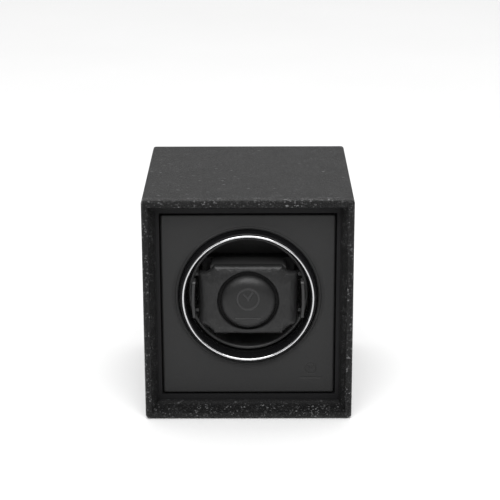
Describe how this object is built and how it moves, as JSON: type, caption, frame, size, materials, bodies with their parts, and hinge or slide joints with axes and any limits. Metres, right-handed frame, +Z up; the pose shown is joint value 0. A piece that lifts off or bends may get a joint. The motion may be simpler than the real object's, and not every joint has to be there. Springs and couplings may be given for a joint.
{
  "type": "watch winder",
  "caption": "Square leather-covered watch winder box with a round window, a motor-driven drum and a pull-out watch cushion",
  "frame": {"origin": "centre of the footprint on the surface the box stands on, at the bottom of its foot pads", "axes": "+Z up along the height, -Y out of the front window, +X to the right seen from the front"},
  "size_m": [0.13, 0.136, 0.1434],
  "materials": {
    "mdf": "machined fibreboard",
    "case_leather": "black pebbled leatherette, satin",
    "panel_leather": "black leatherette, fine grain",
    "cushion_leather": "soft black leatherette over foam",
    "gloss_black": "polished",
    "matte_black": "moulded satin",
    "chrome": "bright plated",
    "steel": "zinc plated",
    "bronze": "sintered",
    "rubber": "matt",
    "pcb": "solder mask",
    "white_mark": "printed",
    "felt": "pressed felt",
    "wire_jacket": "smooth jacket"
  },
  "bodies": {
    "case": {"top_board": "mdf", "bottom_board": "mdf", "left_board": "mdf", "right_board": "mdf", "case_leather": "case_leather", "panel_surround": "matte_black", "front_panel": "mdf", "panel_leather": "panel_leather", "window_bezel": "gloss_black", "chrome_trim_ring": "chrome", "m2_screws": "steel", "m3_screws": "steel", "bulkhead": "mdf", "bulkhead_battens": "mdf", "bulkhead_screws": "steel", "shaft_bushes": "bronze", "drive_belt": "rubber", "motor_bracket": "steel", "gearbox_case": "steel", "motor_can": "steel", "motor_end_cap": "matte_black", "motor_terminals": "steel", "motor_wires": "wire_jacket", "rear_cover": "matte_black", "corner_blocks": "mdf", "control_tray": "matte_black", "circuit_board": "pcb", "control_chip": "matte_black", "motor_socket": "matte_black", "dial_marks": "white_mark", "rotary_switches": "matte_black", "switch_nuts": "steel", "rocker_housing": "matte_black", "dc_jack": "matte_black", "jack_pin": "steel", "foot_pads": "felt"},
    "drum": {"drum_cup": "matte_black", "drum_hub": "matte_black", "hub_screws": "steel", "shaft_washers": "steel", "drum_shaft": "steel", "shaft_circlip": "steel", "drum_pulley": "matte_black", "drum_pulley_screw": "steel"},
    "motor_rotor": {"motor_shaft": "steel", "motor_pulley": "matte_black"},
    "holder": {"holder_body": "matte_black", "holder_base": "matte_black", "tab_pins": "steel"},
    "cushion": {"front_pad": "cushion_leather", "boss_pad": "cushion_leather", "front_shell": "matte_black", "guide_posts": "steel", "post_clips": "steel", "squeeze_spring": "steel"},
    "left_tab": {"left_release_tab": "matte_black"},
    "right_tab": {"right_release_tab": "matte_black"},
    "turns_dial": {"turns_knob": "matte_black"},
    "direction_dial": {"direction_knob": "matte_black"},
    "rocker": {"power_rocker": "matte_black"}
  },
  "joints": [
    {"name": "drum_spin", "type": "hinge", "parent": "case", "child": "drum", "pos_m": [0, -0.024, 0.0778], "axis": [0, 1, 0], "continuous": true},
    {"name": "motor_spin", "type": "hinge", "parent": "case", "child": "motor_rotor", "pos_m": [0, 0.005, 0.028], "axis": [0, 1, 0], "continuous": true},
    {"name": "holder_pull", "type": "slide", "parent": "drum", "child": "holder", "axis": [0, -1, 0], "range_m": [0, 0.065]},
    {"name": "cushion_squeeze", "type": "slide", "parent": "holder", "child": "cushion", "axis": [0, 1, 0], "range_m": [0, 0.007], "stiffness_N_per_m": 600, "springref_m": -0.003, "deforming": ["squeeze_spring"]},
    {"name": "left_tab_press", "type": "hinge", "parent": "holder", "child": "left_tab", "pos_m": [-0.03, -0.032, 0.0778], "axis": [0, 0, 1], "range_deg": [0, 3], "stiffness_Nm_per_rad": 1.2, "springref_deg": -1.72},
    {"name": "right_tab_press", "type": "hinge", "parent": "holder", "child": "right_tab", "pos_m": [0.03, -0.032, 0.0778], "axis": [0, 0, -1], "range_deg": [0, 3], "stiffness_Nm_per_rad": 1.2, "springref_deg": -1.72},
    {"name": "turns_dial_turn", "type": "hinge", "parent": "case", "child": "turns_dial", "pos_m": [0.027, 0.05, 0.104], "axis": [0, 1, 0], "range_deg": [-120, 120]},
    {"name": "direction_dial_turn", "type": "hinge", "parent": "case", "child": "direction_dial", "pos_m": [0.006, 0.05, 0.104], "axis": [0, 1, 0], "range_deg": [-45, 45]},
    {"name": "power_rocker_tilt", "type": "hinge", "parent": "case", "child": "rocker", "pos_m": [-0.0145, 0.0514, 0.104], "axis": [1, 0, 0], "range_deg": [0, 18]}
  ],
  "couplings": [
    {"joint": "motor_spin", "follows": "drum_spin", "ratio": 3.3333}
  ]
}
